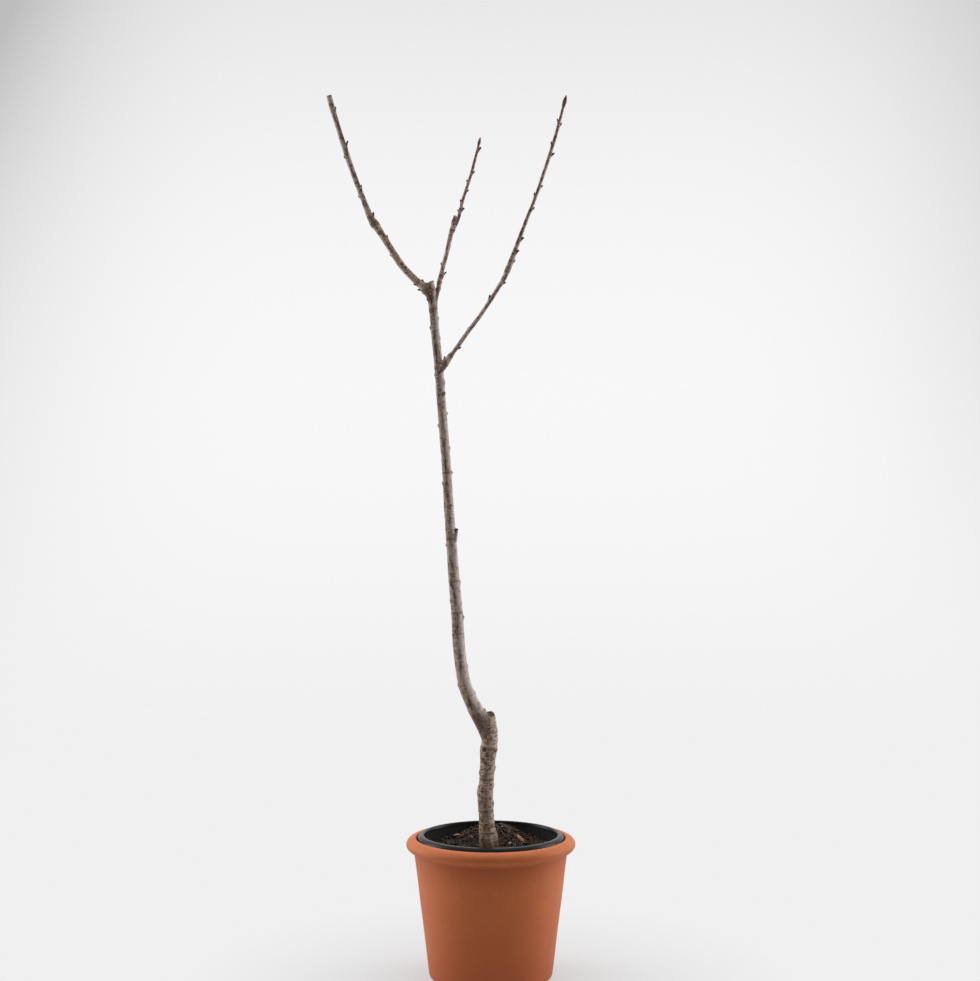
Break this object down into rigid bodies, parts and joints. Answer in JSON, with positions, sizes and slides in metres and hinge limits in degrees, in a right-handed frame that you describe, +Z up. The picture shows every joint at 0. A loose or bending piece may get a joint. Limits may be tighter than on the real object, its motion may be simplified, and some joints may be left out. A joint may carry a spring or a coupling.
{
  "type": "potted cherry tree",
  "caption": "Young grafted cherry tree in winter, bare trunk and upright boughs with buds, in a black nursery pot stood in a terracotta pot.",
  "frame": {"origin": "centre of the clay pot's flat underside", "axes": "+Z up along the pot's axis; +X to the viewer's right and -Y towards the viewer in the pictured view"},
  "size_m": [0.3614, 0.25, 1.2911],
  "materials": {
    "terracotta": "matt fired clay",
    "black_plastic": "satin moulded",
    "compost": "loose dark compost with bark chips",
    "old_bark": "brown grey bark with cross marks",
    "bough_bark": "smooth brown grey bark",
    "shoot_bark": "smooth red brown bark with a grey bloom"
  },
  "bodies": {
    "root": {"clay_pot": "terracotta", "nursery_pot": "black_plastic", "soil": "compost", "trunk": "old_bark", "bough_left": "bough_bark", "bough_middle": "bough_bark", "bough_right": "bough_bark", "shoot_left": "shoot_bark", "shoot_middle": "shoot_bark", "shoot_right": "shoot_bark"}
  },
  "joints": []
}
